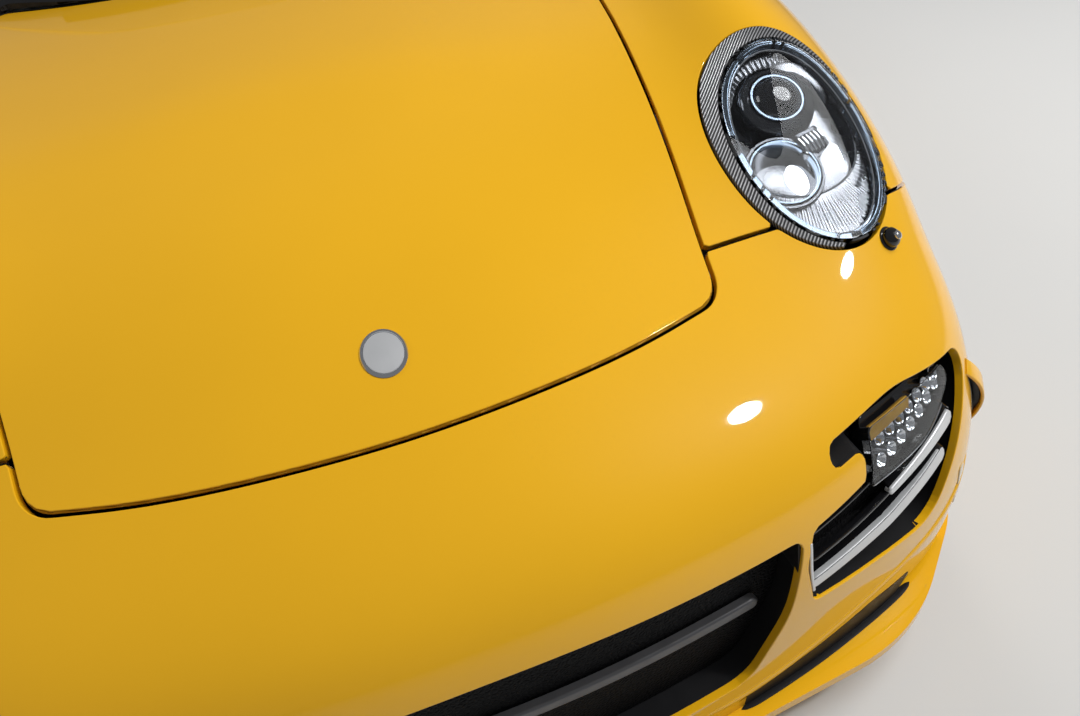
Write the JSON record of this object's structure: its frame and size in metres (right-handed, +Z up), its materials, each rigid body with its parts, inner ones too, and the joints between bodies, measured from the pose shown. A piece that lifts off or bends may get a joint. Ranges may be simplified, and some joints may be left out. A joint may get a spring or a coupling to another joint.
{
  "type": "coupe car",
  "caption": "Rear-engined sports coupe with oval headlamps, a slatted nose, a spoiler lip and a tail wing; doors and lids open, wheels steer and roll.",
  "frame": {"origin": "on the ground, midway along and across the car", "axes": "+Z up, nose towards -Y, the car's left towards +X"},
  "size_m": [2.0182, 4.4528, 1.298],
  "materials": {
    "paint": "gloss clear coat",
    "underbody": "satin",
    "black_plastic": "matt",
    "lip_plastic": "gloss",
    "blade": "satin",
    "lamp_dark": "gloss",
    "lamp_ring": "satin",
    "clear": "clear",
    "tinted": "clear",
    "red_lens": "gloss",
    "steel": "brushed",
    "cast": "rough",
    "alloy": "satin",
    "tyre": "matt",
    "leather": "satin",
    "trim": "grained"
  },
  "bodies": {
    "car": {"body_shell": "paint", "floor_pan": "underbody", "front_bumper": "paint", "front_lip": "lip_plastic", "intake_grilles": "black_plastic", "duct_blades": "blade", "signal_lamps": "lamp_dark", "headlamp_bodies": "lamp_ring", "headlamp_lenses": "clear", "windscreen": "tinted", "rear_glass": "tinted", "quarter_glass": "tinted", "rear_bumper": "paint", "tail_lamps": "red_lens", "arch_liners": "black_plastic", "front_suspension": "steel", "rear_suspension": "steel", "engine_block": "cast", "exhaust": "steel", "radiators": "black_plastic", "seats": "leather", "dashboard": "trim", "wipers": "black_plastic", "front_wing_l": "paint", "front_wing_r": "paint"},
    "luggage_lid": {"bonnet_lid": "paint"},
    "engine_lid": {"engine_lid": "paint", "rear_wing": "paint"},
    "door_left": {"door_l": "paint", "door_glass_l": "tinted", "mirror_l": "paint"},
    "door_right": {"door_r": "paint", "door_glass_r": "tinted", "mirror_r": "paint"},
    "knuckle_left": {"knuckle_l": "cast"},
    "knuckle_right": {"knuckle_r": "cast"},
    "wheel_front_left": {"front_rim_l": "alloy", "front_tyre_l": "tyre"},
    "wheel_front_right": {"front_rim_r": "alloy", "front_tyre_r": "tyre"},
    "wheel_rear_left": {"rear_rim_l": "alloy", "rear_tyre_l": "tyre"},
    "wheel_rear_right": {"rear_rim_r": "alloy", "rear_tyre_r": "tyre"},
    "steering_wheel": {"steering_wheel": "leather"}
  },
  "joints": [
    {"name": "door_left_hinge", "type": "hinge", "parent": "car", "child": "door_left", "pos_m": [0.864, -0.656, 0.49], "axis": [0, 0, -1], "range_deg": [0, 64]},
    {"name": "door_right_hinge", "type": "hinge", "parent": "car", "child": "door_right", "pos_m": [-0.864, -0.656, 0.49], "axis": [0, 0, 1], "range_deg": [0, 64]},
    {"name": "steer_left", "type": "hinge", "parent": "car", "child": "knuckle_left", "pos_m": [0.718, -1.275, 0.3235], "axis": [0, 0, 1], "range_deg": [-32, 32]},
    {"name": "steer_right", "type": "hinge", "parent": "car", "child": "knuckle_right", "pos_m": [-0.718, -1.275, 0.3235], "axis": [0, 0, 1], "range_deg": [-32, 32]},
    {"name": "wheel_front_left_spin", "type": "hinge", "parent": "knuckle_left", "child": "wheel_front_left", "pos_m": [0.745, -1.275, 0.3235], "axis": [1, 0, 0], "continuous": true},
    {"name": "wheel_rear_left_spin", "type": "hinge", "parent": "car", "child": "wheel_rear_left", "pos_m": [0.765, 1.075, 0.333], "axis": [1, 0, 0], "continuous": true},
    {"name": "wheel_front_right_spin", "type": "hinge", "parent": "knuckle_right", "child": "wheel_front_right", "pos_m": [-0.745, -1.275, 0.3235], "axis": [1, 0, 0], "continuous": true},
    {"name": "wheel_rear_right_spin", "type": "hinge", "parent": "car", "child": "wheel_rear_right", "pos_m": [-0.765, 1.075, 0.333], "axis": [1, 0, 0], "continuous": true},
    {"name": "luggage_lid_hinge", "type": "hinge", "parent": "car", "child": "luggage_lid", "pos_m": [0, -0.652, 0.857], "axis": [-1, 0, 0], "range_deg": [0, 60]},
    {"name": "engine_lid_hinge", "type": "hinge", "parent": "car", "child": "engine_lid", "pos_m": [0, 1.428, 0.935], "axis": [1, 0, 0], "range_deg": [0, 55]},
    {"name": "steering_wheel_turn", "type": "hinge", "parent": "car", "child": "steering_wheel", "pos_m": [0.37, -0.385, 0.725], "axis": [0, 0.9326, 0.361], "range_deg": [-450, 450]}
  ],
  "couplings": [
    {"joint": "steer_right", "follows": "steer_left", "ratio": 1},
    {"joint": "steering_wheel_turn", "follows": "steer_left", "ratio": -14}
  ]
}
